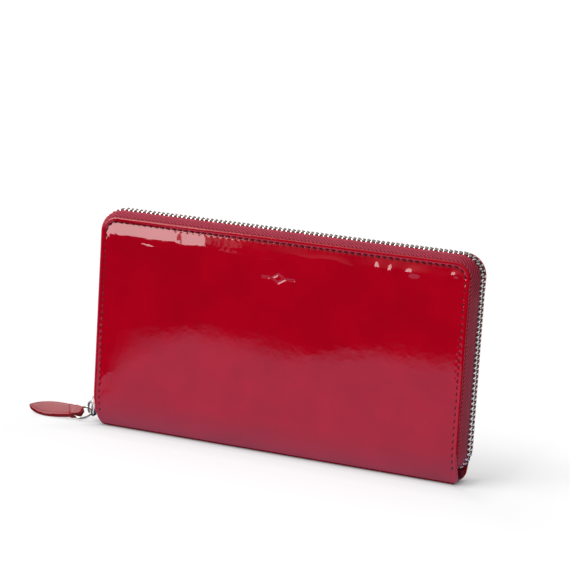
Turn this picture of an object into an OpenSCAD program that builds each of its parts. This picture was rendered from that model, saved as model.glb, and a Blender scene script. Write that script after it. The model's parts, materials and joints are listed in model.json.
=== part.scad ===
// Zip around wallet, closed and standing on its spine fold.
// +X runs along the spine, -Y is the front cover's side, +Z is up.
// The origin is the centre of the spine's flat underside.

/* [Covers] */
// Length of each cover along the spine
cover_w = 190; // [160:1:230]
// Height of the closed cover above the surface it stands on
cover_h = 105; // [85:1:130]
// Thickness over both closed covers
wallet_t = 20; // [19.5:0.5:26]
// Radius of each cover's top corners
corner_r = 8; // [6.5:0.5:14]
// Thickness of the patent leather
leather_t = 1.2; // [0.9:0.1:1.5]
// Thickness of the stiffener boards
board_t = 0.6; // [0.5:0.1:0.8]
// Thickness of the cover linings
lining_t = 0.4; // [0.3:0.1:0.6]

/* [Spine fold] */
// Width of the flat underside
spine_flat = 8; // [6:0.5:12]
// Height at which the curved fold meets the flat covers
fold_h = 18; // [14:1:24]
// Height of the crease that each cover turns about
crease_z = 5; // [4:0.5:6]

/* [Card slots] */
// Rows of card slots on each cover
card_rows = 3; // [3]
// Thickness of one card slot leather
card_t = 0.4; // [0.3:0.05:0.45]
// From the cover's top down to the highest card slot's lip
card_drop = 19; // [17:1:25]
// Step between the lips
card_step = 14; // [10:1:16]

/* [Main zip] */
// Pitch of the teeth in one row
tooth_pitch = 2.4; // [2:0.1:3]
// Thickness of a tooth across the tape
tooth_t = 2.4; // [2:0.1:2.8]
// Reach of a tooth from its jaws to its nose
tooth_reach = 4; // [3.4:0.1:4.8]
// Thickness of the woven tape
tape_t = 0.6; // [0.4:0.1:0.7]
// Distance of the tape's wall outside the cover's edge
tape_out = 2.1; // [1.9:0.1:3.5]
// Width of the tape sewn between leather and lining
seam_w = 5; // [4:0.5:6]

/* [Slider and pull] */
// Length of the slider
slider_len = 10.4; // [9:0.2:13]
// Radius of the pull ring to the middle of its wire
ring_r = 4.4; // [4:0.1:5]
// Radius of the ring's wire
wire_r = 0.6; // [0.5:0.05:0.7]
// Length of the leather leaf
leaf_len = 29.5; // [24:0.5:36]
// Widest part of the leather leaf
leaf_w = 10; // [8:0.5:12]
// Thickness of the leather leaf
leaf_t = 2; // [1.4:0.1:2.2]

/* [Coin pocket] */
// From each end of the cover to the coin pocket's side
coin_side = 7; // [6:0.5:12]
// From the cover's top down to the coin pocket's mouth
coin_drop = 21; // [19:1:35]
// Thickness over both pocket walls
coin_t = 3.6; // [3:0.1:4]
// Thickness of one pocket wall
coin_wall_t = 0.7; // [0.5:0.1:0.8]

/* [Hidden] */
$fn = 48;

// Clearances
layer_gap = 0.05; // between layers of one cover
body_gap = 0.3; // between soft pieces of different bodies
slide_gap = 0.15; // around teeth inside a slider
jaw_gap = 0.04; // between a tooth's jaws and its tape

// Layers of a cover, as depths below its outer face
board_in = leather_t + layer_gap;
lining_in = board_in + board_t + layer_gap;
cards_in = lining_in + lining_t + layer_gap;
cards_end = cards_in + card_rows * (card_t + layer_gap);
half_t = wallet_t / 2;
nose = 1; // reach of a tooth past the mid plane
lining_inset = 0.8;
board_inset = seam_w + body_gap;
coin_w = cover_w - 2 * coin_side;
coin_h = cover_h - coin_drop;

// Fold profile: half the thickness at height z
fold_steps = 12;
function fold_y(z) = z >= fold_h ? half_t
    : spine_flat / 2 + (half_t - spine_flat / 2) * sin(90 * max(z, 0) / fold_h);
function heights(z0, z1) = concat(
    [for (i = [0:fold_steps]) z0 + (min(z1, fold_h) - z0) * i / fold_steps],
    z1 > fold_h ? [z1] : []);
function reversed(list) = [for (i = [len(list) - 1:-1:0]) list[i]];
function mirrored(points) = [for (p = reversed(points)) [-p.x, p.y]];
function fold_side(depth, z0, z1) = [for (z = heights(z0, z1)) [fold_y(z) - depth, z]];

// Extrudes a YZ section along X
module along_x(length) {
    rotate([90, 0, 90])
        linear_extrude(height = length, center = true)
            children();
}

// Slab between two Y planes with the cover's outline, drawn inset from its edge
module outline_slab(inset, z0, y0, y1) {
    half_w = cover_w / 2 - inset;
    top = cover_h - inset;
    r = corner_r - inset;
    translate([-half_w, y0, z0])
        cube([2 * half_w, y1 - y0, top - r - z0]);
    translate([-half_w + r, y0, z0])
        cube([2 * (half_w - r), y1 - y0, top - z0]);
    for (side = [-1, 1])
        translate([side * (half_w - r), y1, top - r])
            rotate([90, 0, 0])
                cylinder(r = r, h = y1 - y0);
}

// Curved layer of the back cover between two depths
module cover_layer(d0, d1, inset, z0) {
    intersection() {
        along_x(cover_w)
            polygon(concat(fold_side(d0, z0, cover_h), reversed(fold_side(d1, z0, cover_h))));
        outline_slab(inset, z0, 0, half_t);
    }
}

// U shaped layer of the spine between two depths
module spine_layer(d0, d1, length) {
    top = crease_z - body_gap / 2;
    outside = fold_side(d0, d0, top);
    inside = fold_side(d1, d1, top);
    along_x(length)
        polygon(concat(mirrored(outside), outside, reversed(inside), reversed(mirrored(inside))));
}

module cover_leather() {
    difference() {
        cover_layer(0, leather_t, 0, crease_z + body_gap / 2);
        stitch_channel();
    }
}

module cover_board() {
    intersection() {
        outline_slab(board_inset, fold_h + body_gap, 0, half_t);
        translate([-cover_w, half_t - board_in - board_t, 0])
            cube([2 * cover_w, board_t, cover_h]);
    }
}

module cover_lining() {
    cover_layer(lining_in, lining_in + lining_t, lining_inset, crease_z + 2 * body_gap);
}

// Card slot leather; row 0 lies on the lining and has the highest lip
card_w = coin_w;
card_z0 = fold_h + 4;
module card_slot(row) {
    lip_z = cover_h - card_drop - card_step * row;
    depth = cards_in + row * (card_t + layer_gap);
    translate([-card_w / 2, half_t - depth - card_t, card_z0])
        cube([card_w, card_t, lip_z - card_z0]);
}

// Slider's size across the tape, and how low the narrowing fold lets it sit
tooth_back = tooth_reach - nose;
flange_t = 0.8;
slider_half_w = tooth_back + 2 * slide_gap + flange_t;
slider_need = slider_half_w + leather_t + slide_gap - spine_flat / 2;
slider_low = fold_h / 90 * asin(slider_need / (half_t - spine_flat / 2));
slider_z = slider_low + slider_len / 2;

// Main zip. A section point is [distance outside the cover's edge, distance from the mid plane]
tape_low_z = crease_z + 1;
tape_edge = nose + 0.1; // from the mid plane to the tape's corded edge
tape_seam = half_t - board_in;
tape_outer = tape_out + tape_t / 2;
tape_inner = tape_out - tape_t / 2;
tape_slope_h = 4.6; // where the sloping part meets the upright part
tape_shoulder = [tape_outer - 1.3, tape_seam - 1];
tape_section = [
    [-seam_w, tape_seam],
    [tape_t / 2, tape_seam],
    tape_shoulder,
    [tape_outer, tape_slope_h],
    [tape_outer, tape_edge],
    [tape_inner, tape_edge],
    [tape_inner, tape_slope_h - tape_t / 6],
    tape_shoulder - [tape_t, tape_t / 2],
    [-tape_t / 6, tape_seam - tape_t],
    [-seam_w, tape_seam - tape_t]];

// Sweeps a section up the left side, over the top and down the right side, on the back half
module around_cover(section, low_z) {
    leg = cover_h - corner_r - low_z;
    for (side = [0, 1])
        mirror([side, 0, 0]) {
            translate([cover_w / 2, 0, low_z])
                linear_extrude(height = leg)
                    polygon(section);
            translate([cover_w / 2 - corner_r, 0, cover_h - corner_r])
                mirror([0, 1, 0])
                    rotate([90, 0, 0])
                        rotate_extrude(angle = 90)
                            polygon([for (p = section) [corner_r + p.x, p.y]]);
        }
    translate([0, 0, cover_h])
        along_x(cover_w - 2 * corner_r)
            polygon([for (p = section) [p.y, p.x]]);
}

// Tape, kept inside the leather where the fold narrows
module zip_tape() {
    inside = fold_side(board_in, tape_low_z, cover_h + corner_r);
    intersection() {
        around_cover(tape_section, tape_low_z);
        along_x(cover_w + 4 * tape_out)
            polygon(concat(inside, [[0, cover_h + corner_r], [0, tape_low_z]]));
    }
}

// Carries children to a distance along a line that runs parallel to the cover's edge
module on_path(s, offset, low_z) {
    r = corner_r + offset;
    leg = cover_h - corner_r - low_z;
    bend = PI * r / 2;
    top = cover_w - 2 * corner_r;
    half = leg + bend + top / 2;
    side = s < half ? -1 : 1;
    from_end = s < half ? s : 2 * half - s;
    turn = max(0, min(1, (from_end - leg) / bend)) * 90;
    past = max(0, from_end - leg - bend);
    x = cover_w / 2 - corner_r + r * cos(turn) - past;
    z = low_z + min(from_end, leg) + r * sin(turn);
    translate([side * x, 0, z])
        rotate([0, side > 0 ? -turn : turn - 180, 0])
            children();
}
function path_length(offset, low_z) = 2 * (cover_h - corner_r - low_z)
    + PI * (corner_r + offset) + cover_w - 2 * corner_r;

// Tooth: jaws on the tape's edge and a nose that reaches past the mid plane
tooth_fan = 1 - tooth_t / 2 / (corner_r + tape_out); // how teeth close up round a corner
tooth_run = tooth_pitch / 2 * tooth_fan - 0.05;
stop_h = 2.4;
stop_low_z = tape_low_z + 0.1;
teeth_low_z = max(slider_z + 1, stop_low_z + stop_h + slide_gap);
module tooth() {
    jaw = tape_t / 2 + jaw_gap;
    translate([0, 0, -tooth_run / 2])
        linear_extrude(height = tooth_run)
            polygon([[-tooth_t / 2, -nose], [tooth_t / 2, -nose], [tooth_t / 2, tooth_back], [jaw, tooth_back],
                [jaw, tape_edge - jaw_gap], [-jaw, tape_edge - jaw_gap], [-jaw, tooth_back],
                [-tooth_t / 2, tooth_back]]);
}
module teeth_row(shift) {
    count = floor(path_length(tape_out, teeth_low_z) / tooth_pitch - 1);
    for (i = [0:count])
        on_path((i + 0.25 + shift) * tooth_pitch, tape_out, teeth_low_z)
            tooth();
}
module end_stop() {
    translate([cover_w / 2 + tape_out, 0, stop_low_z])
        linear_extrude(height = stop_h)
            polygon([for (p = [[-1, 0.2], [1, 0.2], [1, 2.8], [0.45, 2.8], [0.45, tape_edge - jaw_gap],
                [-0.45, tape_edge - jaw_gap], [-0.45, 2.8], [-1, 2.8]]) [p.x * tape_t / 0.7, p.y]]);
}

// Saddle stitches, sunk in a channel in the outer face
stitch_in = 2.4;
stitch_pitch = 3.2;
stitch_low_z = fold_h + 0.5;
channel_half_w = 0.45;
channel_depth = 0.25;
module stitch_channel() {
    around_cover([for (p = [[-1, -channel_depth], [1, -channel_depth], [1, 1], [-1, 1]])
        [p.x * channel_half_w - stitch_in, half_t + p.y]], stitch_low_z);
}
module cover_stitches() {
    thread_h = 0.2;
    stitch_len = 2.3;
    thread_w = 0.5;
    for (i = [0:floor(path_length(-stitch_in, stitch_low_z) / stitch_pitch) - 1])
        on_path((i + 0.5) * stitch_pitch, -stitch_in, stitch_low_z)
            translate([-thread_w / 2, half_t - channel_depth, -stitch_len / 2])
                cube([thread_w, thread_h, stitch_len]);
}

// Soft gusset folded in a V between a cover and the coin pocket
gusset_x = coin_w / 2 + 3;
gusset_z0 = fold_h;
gusset_h = coin_h - gusset_z0 - 4;
module gusset() {
    fold_in = 5;
    cloth_t = 0.3;
    hem = 2;
    y0 = coin_t / 2;
    y1 = fold_y(gusset_z0) - lining_in - lining_t - 2 * body_gap;
    mid = (y0 + y1) / 2;
    slant = cloth_t * 1.6;
    translate([0, 0, gusset_z0])
        linear_extrude(height = gusset_h)
            polygon([[coin_w / 2 - hem, y0], [gusset_x, y0], [gusset_x, y0 + cloth_t],
                [gusset_x - fold_in + slant, mid], [gusset_x, y1], [gusset_x - slant, y1],
                [gusset_x - fold_in, mid], [gusset_x - slant, y0 + cloth_t],
                [coin_w / 2 - hem, y0 + cloth_t]]);
}

// Spine
spine_stack = leather_t + layer_gap;
module spine_leather() {
    color("crimson") spine_layer(0, leather_t, cover_w);
}
module spine_board() {
    color("tan")
        translate([-card_w / 2, -spine_flat / 2 + leather_t, spine_stack])
            cube([card_w, spine_flat - 2 * leather_t, board_t]);
}
spine_lining_in = spine_stack + board_t + layer_gap;
module spine_lining() {
    color("firebrick") spine_layer(spine_lining_in, spine_lining_in + lining_t, cover_w - 2 * lining_inset);
}

// Covers
module mirror_front() {
    mirror([0, 1, 0]) children();
}
module back_leather() { color("crimson") cover_leather(); }
module back_board() { color("tan") cover_board(); }
module back_lining() { color("firebrick") cover_lining(); }
module back_card_slot_low() { color("darkred") card_slot(2); }
module back_card_slot_mid() { color("darkred") card_slot(1); }
module back_card_slot_high() { color("darkred") card_slot(0); }
module back_zip_tape() { color("palevioletred") zip_tape(); }
module back_zip_teeth() { color("silver") teeth_row(0.5); }
module back_end_stop() { color("silver") end_stop(); }
module back_stitching() { color("maroon") cover_stitches(); }
module front_leather() { color("crimson") mirror_front() cover_leather(); }
module front_board() { color("tan") mirror_front() cover_board(); }
module front_lining() { color("firebrick") mirror_front() cover_lining(); }
module front_card_slot_low() { color("darkred") mirror_front() card_slot(2); }
module front_card_slot_mid() { color("darkred") mirror_front() card_slot(1); }
module front_card_slot_high() { color("darkred") mirror_front() card_slot(0); }
module front_zip_tape() { color("palevioletred") mirror_front() zip_tape(); }
module front_zip_teeth() { color("silver") mirror_front() teeth_row(0); }
module front_end_stop() { color("silver") mirror_front() end_stop(); }
module front_stitching() { color("maroon") mirror_front() cover_stitches(); }

// Gussets
module back_right_gusset() { color("firebrick") gusset(); }
module back_left_gusset() { color("firebrick") mirror([1, 0, 0]) gusset(); }
module front_right_gusset() { color("firebrick") mirror_front() gusset(); }
module front_left_gusset() { color("firebrick") mirror_front() mirror([1, 0, 0]) gusset(); }

// Coin pocket, standing on the spine lining
coin_z0 = spine_lining_in + lining_t + layer_gap;
coin_base_t = 0.6;
module coin_base() {
    color("darkred")
        translate([-coin_w / 2, -coin_t / 2, coin_z0])
            cube([coin_w, coin_t, coin_base_t]);
}
module coin_wall() {
    translate([-coin_w / 2, coin_t / 2 - coin_wall_t, coin_z0 + coin_base_t])
        cube([coin_w, coin_wall_t, coin_h - coin_z0 - coin_base_t]);
}
module coin_back_wall() { color("darkred") coin_wall(); }
module coin_front_wall() { color("darkred") mirror_front() coin_wall(); }
module coin_binding() {
    binding_w = 3;
    translate([coin_w / 2 - binding_w, -coin_t / 2 + coin_wall_t, coin_z0 + coin_base_t])
        cube([binding_w, coin_t - 2 * coin_wall_t, coin_h - coin_z0 - coin_base_t]);
}
module coin_right_binding() { color("maroon") coin_binding(); }
module coin_left_binding() { color("maroon") mirror([1, 0, 0]) coin_binding(); }

// Coin zip: tapes hang between the walls, teeth lie above their lips
coin_tape_t = 0.45;
coin_tape_in = 0.15;
coin_tape_w = coin_w - 8;
coin_tape_low = coin_h - 12;
coin_teeth_z = coin_h + 2;
coin_tooth_h = 1.8;
coin_tooth_pitch = 2.4;
coin_tooth_back = 1.4;
coin_tooth_nose = 0.5;
module coin_tape() {
    translate([-coin_tape_w / 2, coin_tape_in, coin_tape_low])
        cube([coin_tape_w, coin_tape_t, coin_teeth_z - coin_tape_low]);
}
module coin_back_tape() { color("palevioletred") coin_tape(); }
module coin_front_tape() { color("palevioletred") mirror_front() coin_tape(); }
coin_stop_in = 3;
module coin_teeth(shift) {
    count = floor((coin_tape_w - 2 * coin_stop_in) / coin_tooth_pitch) - 1;
    for (i = [0:count])
        translate([-coin_tape_w / 2 + coin_stop_in + (i + shift) * coin_tooth_pitch,
            -coin_tooth_nose, coin_teeth_z])
            cube([coin_tooth_pitch / 2 - 0.05, coin_tooth_nose + coin_tooth_back, coin_tooth_h]);
}
module coin_back_teeth() { color("silver") coin_teeth(0.5); }
module coin_front_teeth() { color("silver") mirror_front() coin_teeth(0); }

// Coin slider: a channel over both rows with lips under the teeth, and an eye for its puller
coin_slider_len = 8;
coin_slider_x = -coin_w / 2 + 18;
coin_wing_t = 0.7;
coin_ch = coin_tooth_back + slide_gap;
coin_slider_top = coin_teeth_z + coin_tooth_h + slide_gap + coin_wing_t;
coin_eye_z = coin_slider_top + 0.9;
coin_pin_r = 0.45;
module coin_slider() {
    lip_z = coin_teeth_z - slide_gap - coin_wing_t;
    lip_in = coin_tape_in + coin_tape_t + slide_gap;
    out = coin_ch + coin_wing_t;
    color("silver")
        translate([coin_slider_x, 0, 0]) {
            along_x(coin_slider_len)
                polygon([[-out, lip_z], [-lip_in, lip_z], [-lip_in, lip_z + coin_wing_t],
                    [-coin_ch, lip_z + coin_wing_t], [-coin_ch, coin_slider_top - coin_wing_t],
                    [coin_ch, coin_slider_top - coin_wing_t], [coin_ch, lip_z + coin_wing_t],
                    [lip_in, lip_z + coin_wing_t], [lip_in, lip_z], [out, lip_z],
                    [out, coin_slider_top], [-out, coin_slider_top]]);
            for (side = [-1, 1])
                translate([-1.2, side * 1.2 - 0.3, coin_slider_top])
                    difference() {
                        cube([2.4, 0.6, 1.8]);
                        translate([1.2, 0.7, 0.9])
                            rotate([90, 0, 0])
                                cylinder(r = coin_pin_r + 0.08, h = 0.8);
                    }
        }
}
module coin_puller() {
    coin_pull_len = 13;
    coin_pull_t = 0.8;
    color("silver")
        translate([coin_slider_x, 0, coin_eye_z]) {
            rotate([90, 0, 0])
                cylinder(r = coin_pin_r, h = 3.2, center = true);
            translate([coin_pin_r / 2, -0.7, -coin_pin_r])
                cube([coin_pull_len / 3, 1.4, coin_pull_t]);
            translate([coin_pull_len / 3, -1.8, -coin_pin_r])
                cube([coin_pull_len * 2 / 3, 3.6, coin_pull_t]);
        }
}

// Main slider on the left side, in its own frame: +X outward from the tape, +Z up
wing_t = 1.2;
slider_ch = tooth_t / 2 + slide_gap;
slot_half = tape_t / 2 + body_gap;
bridge_len = 7.4;
bridge_gap = 3.4;
bridge_strap = 0.8;
bridge_foot = 0.9; // height of the bars that join the strap to the slider
bridge_half_w = 0.7;
function slider_outer() = slider_ch + wing_t;
module wing(side) {
    face = side > 0 ? slider_ch : -slider_ch - wing_t;
    lip = side > 0 ? slot_half : -slider_ch;
    translate([face, -slider_half_w, -slider_len / 2])
        cube([wing_t, 2 * slider_half_w, slider_len]);
    for (edge = [-slider_half_w, slider_half_w - flange_t])
        translate([lip, edge, -slider_len / 2])
            cube([slider_ch - slot_half, flange_t, slider_len]);
}
module zip_slider() {
    post_half = tape_edge - 0.2;
    color("gray")
        translate([-cover_w / 2 - tape_out, 0, slider_z])
            mirror([1, 0, 0]) {
                wing(1);
                wing(-1);
                translate([-slider_ch, -post_half, -slider_len / 2 + 0.6])
                    cube([2 * slider_ch, 2 * post_half, 3.4]);
                translate([slider_outer(), -bridge_half_w, -slider_len / 2])
                    difference() {
                        cube([bridge_gap + bridge_strap, 2 * bridge_half_w, bridge_len]);
                        translate([0, -1, bridge_foot])
                            cube([bridge_gap, 2 * bridge_half_w + 2, bridge_len - 2 * bridge_foot]);
                    }
            }
}

// Ring and leaf, in the pull's own frame: its plane holds the ring, its origin is in the bridge
pull_roll = 26;
ring_at = 35; // place on the ring that the bridge holds
leaf_at = 185; // place on the ring that the leaf hangs from
pivot_x = -cover_w / 2 - tape_out - slider_outer() - bridge_gap / 2;
pivot_z = slider_low + bridge_foot + 1.3;
ring_centre = -ring_r * [cos(ring_at), sin(ring_at)];
leaf_place = ring_centre + ring_r * [cos(leaf_at), sin(leaf_at)];
module pull_frame() {
    translate([pivot_x, 0, pivot_z])
        rotate([pull_roll, 0, 0])
            children();
}
module pull_ring() {
    color("silver")
        pull_frame()
            translate([ring_centre.x, ring_centre.y, 0])
                rotate_extrude()
                    translate([ring_r, 0])
                        circle(r = wire_r, $fn = 24);
}
// Half width of the leaf at a share t of its length from the ring
loop_w = 4.2; // width of the loop round the ring's wire
loop_wall = 0.8;
loop_play = 0.25;
loop_back = 3; // length of the loop beyond the wire
leaf_widest = 0.5;
leaf_root = loop_w / leaf_w;
function leaf_half(t) = leaf_w / 2 * (
    t < leaf_widest ? leaf_root + (1 - leaf_root) * pow(sin(90 * t / leaf_widest), 0.6)
    : pow(max(0, 1 - pow((t - leaf_widest) / (1 - leaf_widest), 2.2)), 0.75));
leaf_reach = leaf_len - wire_r - loop_play - loop_wall - loop_back;
leaf_edge = [for (i = [0:24]) let (t = 1 - pow(1 - i / 24, 1.5)) [leaf_reach * t, leaf_half(t)]];
// Rounded bar across the leaf, used for the loop and for the hole through it
module loop_bar(r, w) {
    for (x = [-loop_back, 0])
        translate([x, w / 2, 0])
            rotate([90, 0, 0])
                cylinder(r = r, h = w);
    translate([-loop_back, -w / 2, -r])
        cube([loop_back, w, 2 * r]);
}
module pull_leaf() {
    under_edge = [for (i = [23:-1:0]) [leaf_edge[i].x, -leaf_edge[i].y]];
    hole_r = wire_r + loop_play;
    color("crimson")
        pull_frame()
            translate([leaf_place.x, leaf_place.y, 0])
                rotate([0, 0, leaf_at])
                    difference() {
                        union() {
                            translate([0, 0, -leaf_t / 2])
                                linear_extrude(height = leaf_t)
                                    polygon(concat(leaf_edge, under_edge));
                            loop_bar(hole_r + loop_wall, loop_w);
                        }
                        loop_bar(hole_r, 4 * loop_w);
                    }
}

spine_leather();
spine_board();
spine_lining();
front_leather();
front_board();
front_lining();
front_card_slot_low();
front_card_slot_mid();
front_card_slot_high();
front_zip_tape();
front_zip_teeth();
front_end_stop();
front_stitching();
back_leather();
back_board();
back_lining();
back_card_slot_low();
back_card_slot_mid();
back_card_slot_high();
back_zip_tape();
back_zip_teeth();
back_end_stop();
back_stitching();
front_left_gusset();
front_right_gusset();
back_left_gusset();
back_right_gusset();
coin_front_wall();
coin_back_wall();
coin_base();
coin_left_binding();
coin_right_binding();
coin_front_tape();
coin_back_tape();
coin_front_teeth();
coin_back_teeth();
coin_slider();
coin_puller();
zip_slider();
pull_ring();
pull_leaf();
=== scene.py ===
"""Zip around wallet in red patent leather: detailed meshes, materials, light and camera."""
import json
import math

import bmesh
import bpy
import numpy as np
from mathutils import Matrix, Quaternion, Vector

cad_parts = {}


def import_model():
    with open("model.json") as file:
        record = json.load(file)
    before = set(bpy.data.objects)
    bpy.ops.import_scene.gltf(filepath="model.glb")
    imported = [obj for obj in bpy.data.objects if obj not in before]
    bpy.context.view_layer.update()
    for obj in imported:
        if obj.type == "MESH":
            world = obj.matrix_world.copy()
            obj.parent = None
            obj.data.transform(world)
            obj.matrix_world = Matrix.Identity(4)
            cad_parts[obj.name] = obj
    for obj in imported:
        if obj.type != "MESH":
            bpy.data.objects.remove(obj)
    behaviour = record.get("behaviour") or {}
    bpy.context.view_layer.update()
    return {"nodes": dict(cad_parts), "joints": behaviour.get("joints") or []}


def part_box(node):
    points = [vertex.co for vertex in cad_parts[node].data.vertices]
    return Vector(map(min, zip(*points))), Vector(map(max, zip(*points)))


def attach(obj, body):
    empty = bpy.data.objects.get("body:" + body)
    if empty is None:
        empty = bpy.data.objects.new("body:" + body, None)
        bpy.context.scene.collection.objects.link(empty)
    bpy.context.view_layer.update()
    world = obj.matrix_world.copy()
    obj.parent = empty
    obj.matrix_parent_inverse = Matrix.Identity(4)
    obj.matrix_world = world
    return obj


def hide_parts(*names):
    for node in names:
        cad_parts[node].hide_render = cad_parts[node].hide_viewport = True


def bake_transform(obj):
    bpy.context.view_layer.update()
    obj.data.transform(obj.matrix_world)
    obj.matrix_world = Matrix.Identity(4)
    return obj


MM = 0.001
COVERS = ((-1, "front"), (1, "back"))
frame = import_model()
joints = {j["name"]: j for j in frame["joints"]}


def box_mm(node):
    """The lowest and highest corner of a CAD node, in millimetres."""
    low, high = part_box(node)
    return np.array(low) / MM, np.array(high) / MM


def box_sides(node):
    """The corners of a CAD node, and its distances from the mid plane, near and far."""
    low, high = box_mm(node)
    near, far = sorted((abs(low[1]), abs(high[1])))
    return low, high, near, far


# -------- sizes, in millimetres, from the frame
cover_low, cover_high = box_mm("front_leather")
HALF_W = cover_high[0]
TOP = cover_high[2]
HALF_T = -cover_low[1]
CORNER = 8.0
LOW_CORNER = 4.5
LEATHER = 1.2
FOLD_H = 18.0
SPINE_FLAT = 8.0
LINING_IN = 1.9
LINING_T = 0.4
LINING_INSET = 0.8

# The main zip: its tape, its teeth and the tail that turns into the fold at the lower right
TAPE_IN = 1.25
TAPE_OUT = 2.1
TAPE_T = 0.6
TAPE_EDGE = 1.1
TAPE_LOW = 6.0
TAPE_MIDDLE = 14.6
RIB = 2.0
RIB_SLANT = -1.5
CORD_H, CORD_R, CORD_OUT = 2.05, 0.95, 0.65
TEETH_LOW = 12.5
PITCH = 2.4
TAIL_Z = 16.0
TAIL_R = 10.0
TAIL_X = HALF_W + TAPE_OUT - TAIL_R
TAPE_TURN = math.radians(88)
TEETH_TURN = math.radians(74)
STOP_TURN = math.radians(82)

# The row of stitches
STITCH_IN = 2.4
STITCH_PITCH = 3.2
STITCH_LOW = 7.0
STITCH_DEPTH = 0.42
STITCH_SLANT = -0.32
STITCH_SIZE = (2.0, 0.3)


# -------- small mesh tools
def placed(name, data):
    """An object in the scene that shows data."""
    made = bpy.data.objects.new(name, data)
    bpy.context.scene.collection.objects.link(made)
    return made


def add_object(name, verts, faces, made_material, body=None, sharp=None):
    """A mesh object from millimetre points; it rides on body."""
    mesh = bpy.data.meshes.new(name)
    mesh.from_pydata((np.asarray(verts, float) * MM).tolist(), [], faces)
    mesh.update()
    mesh.polygons.foreach_set("use_smooth", [True] * len(mesh.polygons))
    if sharp:
        mesh.set_sharp_from_angle(angle=math.radians(sharp))
    mesh.materials.append(made_material)
    made = placed(name, mesh)
    if body:
        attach(made, body)
    return made


def turned(shape, over=True):
    """A shape with its faces turned over."""
    verts, faces = shape
    return verts, [f[::-1] for f in faces] if over else faces


def piece(name, shape, made_material, body, node, sharp=None):
    """A piece that rides on body and stands for a CAD node."""
    made = add_object(name, *shape, made_material, body, sharp)
    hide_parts(node)
    return made


def grid_faces(rows, cols, start=0, flip=False):
    """Quads over rows x cols points."""
    r = np.arange(rows - 1)[:, None]
    c = np.arange(cols - 1)[None, :]
    quad = [r * cols + c, r * cols + c + 1, (r + 1) * cols + c + 1, (r + 1) * cols + c]
    if flip:
        quad = quad[::-1]
    return (np.stack(np.broadcast_arrays(*quad), -1).reshape(-1, 4) + start).tolist()


def closed_sheet(outer, inner):
    """Verts and faces of a closed sheet between two equal grids of points."""
    rows, cols = outer.shape[:2]
    count = rows * cols
    faces = grid_faces(rows, cols) + grid_faces(rows, cols, count, flip=True)
    rim = [r * cols for r in range(rows)] + [(rows - 1) * cols + c for c in range(1, cols)]
    rim += [r * cols + cols - 1 for r in range(rows - 2, -1, -1)] + list(range(cols - 2, 0, -1))
    for a, b in zip(rim, rim[1:] + rim[:1]):
        faces.append((a, b, b + count, a + count))
    return np.concatenate([outer.reshape(-1, 3), inner.reshape(-1, 3)]), faces


def from_bmesh(made):
    """Verts and faces of a bmesh, which is freed."""
    made.verts.index_update()
    verts = np.array([v.co for v in made.verts])
    faces = [tuple(v.index for v in f.verts) for f in made.faces]
    made.free()
    return verts, faces


def rounded_box(low, high, radius, segments=2):
    """Verts and faces of a box with bevelled edges."""
    low, high = np.array(low, float), np.array(high, float)
    made = bmesh.new()
    bmesh.ops.create_cube(made, size=1)
    for v in made.verts:
        v.co = Vector(low + (np.array(v.co) + 0.5) * (high - low))
    bmesh.ops.bevel(made, geom=made.edges[:], offset=radius, segments=segments, profile=0.6, affect="EDGES")
    return from_bmesh(made)


def prism(outline, x0, x1, bevel, segments=2):
    """Verts and faces of a (y, z) outline extruded from x0 to x1 with bevelled rims."""
    made = bmesh.new()
    base = made.faces.new([made.verts.new((x0, y, z)) for y, z in outline])
    top = bmesh.ops.extrude_face_region(made, geom=[base])
    moved = [g for g in top["geom"] if isinstance(g, bmesh.types.BMVert)]
    bmesh.ops.translate(made, verts=moved, vec=(x1 - x0, 0, 0))
    rims = [e for e in made.edges if abs(e.verts[0].co.x - e.verts[1].co.x) < 1e-6]
    bmesh.ops.bevel(made, geom=rims, offset=bevel, segments=segments, profile=0.5, affect="EDGES")
    bmesh.ops.recalc_face_normals(made, faces=made.faces[:])
    return from_bmesh(made)


def joined(parts):
    """One set of verts and faces out of several."""
    verts, faces, start = [], [], 0
    for v, f in parts:
        verts.append(v)
        faces += [tuple(i + start for i in face) for face in f]
        start += len(v)
    return np.concatenate(verts), faces


def repeated(shape, origins, axes):
    """Copies of a shape at many places; axes holds the three directions of each place."""
    verts, faces = shape
    every = np.einsum("vk,nkj->nvj", verts, axes) + origins[:, None]
    polys = []
    for size in sorted({len(f) for f in faces}):
        block = np.array([f for f in faces if len(f) == size])
        shifted = block[None] + (np.arange(len(origins)) * len(verts))[:, None, None]
        polys += shifted.reshape(-1, size).tolist()
    return every.reshape(-1, 3), polys


def circle(sides):
    """Angles of evenly spaced points round a circle."""
    return np.arange(sides) * 2 * math.pi / sides


def ring_faces(rings, sides, closed=False):
    """Quads between rings of points, with a cap at each end unless the last ring joins the first."""
    faces = []
    for r in range(rings if closed else rings - 1):
        q = (r + 1) % rings
        for k in range(sides):
            m = (k + 1) % sides
            faces.append((r * sides + k, r * sides + m, q * sides + m, q * sides + k))
    if not closed:
        faces += [tuple(range(sides))[::-1], tuple(range((rings - 1) * sides, rings * sides))]
    return faces


def tube(points, radius, sides=12, closed=False):
    """Verts and faces of a round tube along points."""
    pts = np.asarray(points, float)
    tangent = np.roll(pts, -1, 0) - np.roll(pts, 1, 0) if closed else np.gradient(pts, axis=0)
    tangent /= np.linalg.norm(tangent, axis=1)[:, None]
    side = np.cross(tangent[0], (0.31, 0.17, 0.93))
    angle = circle(sides)[:, None]
    rings = []
    for p, t in zip(pts, tangent):
        side = side - t * side.dot(t)
        side /= np.linalg.norm(side)
        rings.append(p + radius * (np.cos(angle) * side + np.sin(angle) * np.cross(t, side)))
    return np.concatenate(rings), ring_faces(len(rings), sides, closed)


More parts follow.
